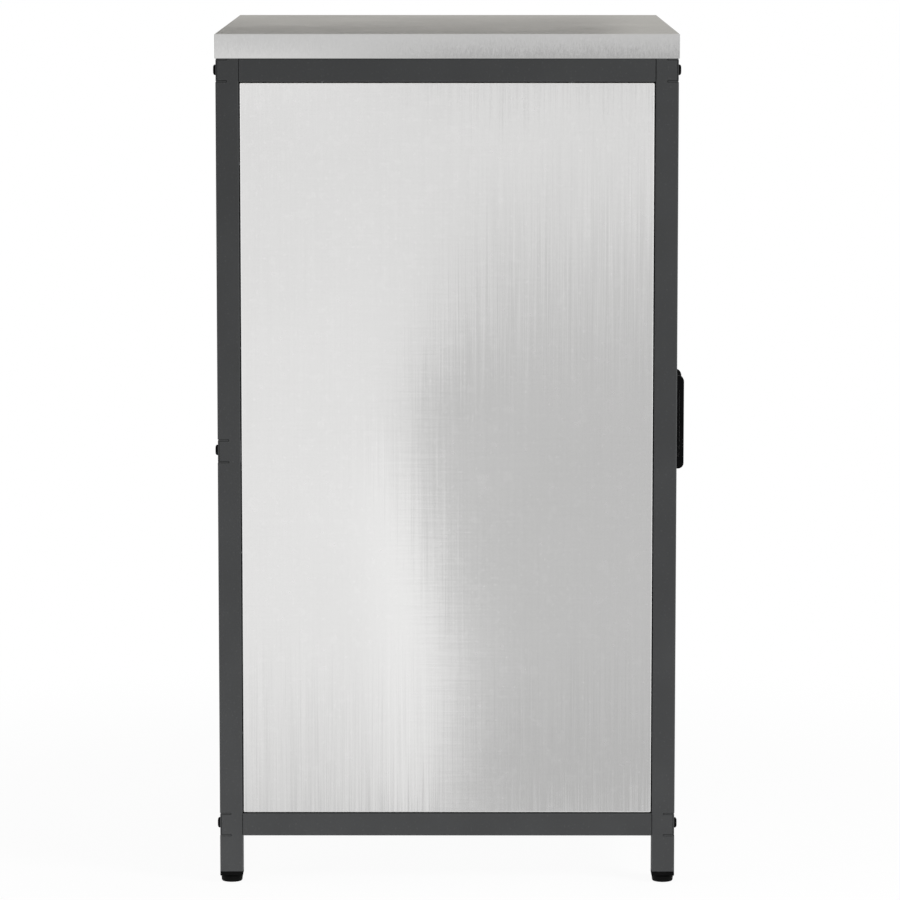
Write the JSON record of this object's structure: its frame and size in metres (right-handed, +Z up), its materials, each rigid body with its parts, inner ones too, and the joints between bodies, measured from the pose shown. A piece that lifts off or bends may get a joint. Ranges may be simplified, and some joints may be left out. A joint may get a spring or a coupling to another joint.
{
  "type": "kitchen cabinet",
  "caption": "Free-standing kitchen cabinet with inset doors, a steel tube frame, stainless steel panels and a flat stainless steel worktop.",
  "frame": {"origin": "on the floor, under the middle of the cabinet's box", "axes": "+Z up, the doors face -Y, +X to the right for someone who stands in front of the doors"},
  "size_m": [0.6018, 0.5232, 0.932],
  "materials": {
    "coated_frame": "matt dark grey powder coat",
    "stainless_sheet": "brushed stainless steel, grain upright",
    "core_board": "raw board",
    "black_hardware": "satin black coat",
    "black_plastic": "moulded, fine grain",
    "pale_plastic": "moulded, smooth",
    "bright_hardware": "zinc plated"
  },
  "bodies": {
    "cabinet": {"back_panel_lower": "stainless_sheet", "back_panel_upper": "stainless_sheet", "bolt_front_left_bottom": "black_hardware", "bolt_front_left_top": "black_hardware", "bolt_front_right_bottom": "black_hardware", "bolt_front_right_top": "black_hardware", "bolt_rear_left_bottom": "black_hardware", "bolt_rear_left_middle": "black_hardware", "bolt_rear_left_top": "black_hardware", "bolt_rear_right_bottom": "black_hardware", "bolt_rear_right_middle": "black_hardware", "bolt_rear_right_top": "black_hardware", "cross_rail_front_bottom": "coated_frame", "cross_rail_front_top": "coated_frame", "cross_rail_rear_bottom": "coated_frame", "cross_rail_rear_middle": "coated_frame", "cross_rail_rear_top": "coated_frame", "flange_nut_left": "bright_hardware", "flange_nut_right": "bright_hardware", "floor_panel": "stainless_sheet", "foot_front_left": "black_plastic", "foot_front_right": "black_plastic", "foot_rear_left": "black_plastic", "foot_rear_right": "black_plastic", "hinge_pin_left_bottom": "bright_hardware", "hinge_pin_left_top": "bright_hardware", "hinge_pin_right_bottom": "bright_hardware", "hinge_pin_right_top": "bright_hardware", "magnetic_catch": "pale_plastic", "post_front_left": "coated_frame", "post_front_right": "coated_frame", "post_rear_left": "coated_frame", "post_rear_right": "coated_frame", "shelf": "stainless_sheet", "shelf_rail_left": "coated_frame", "shelf_rail_right": "coated_frame", "side_panel_left": "stainless_sheet", "side_panel_right": "stainless_sheet", "side_rail_left_bottom": "coated_frame", "side_rail_left_top": "coated_frame", "side_rail_right_bottom": "coated_frame", "side_rail_right_top": "coated_frame", "worktop_core": "core_board", "worktop_skin": "stainless_sheet"},
    "left_door": {"door_pan_left": "stainless_sheet", "door_skin_left": "stainless_sheet", "handle_left": "black_hardware", "handle_screw_left_bottom": "bright_hardware", "handle_screw_left_top": "bright_hardware", "hinge_bush_left_bottom": "pale_plastic", "hinge_bush_left_top": "pale_plastic", "strike_plate_left": "bright_hardware"},
    "right_door": {"door_pan_right": "stainless_sheet", "door_skin_right": "stainless_sheet", "handle_right": "black_hardware", "handle_screw_right_bottom": "bright_hardware", "handle_screw_right_top": "bright_hardware", "hinge_bush_right_bottom": "pale_plastic", "hinge_bush_right_top": "pale_plastic", "strike_plate_right": "bright_hardware"}
  },
  "joints": [
    {"name": "left_door_hinge", "type": "hinge", "parent": "cabinet", "child": "left_door", "pos_m": [-0.25882, -0.2334, 0.479], "axis": [0, 0, -1], "range_deg": [0, 110]},
    {"name": "right_door_hinge", "type": "hinge", "parent": "cabinet", "child": "right_door", "pos_m": [0.25882, -0.2334, 0.479], "axis": [0, 0, 1], "range_deg": [0, 110]}
  ]
}
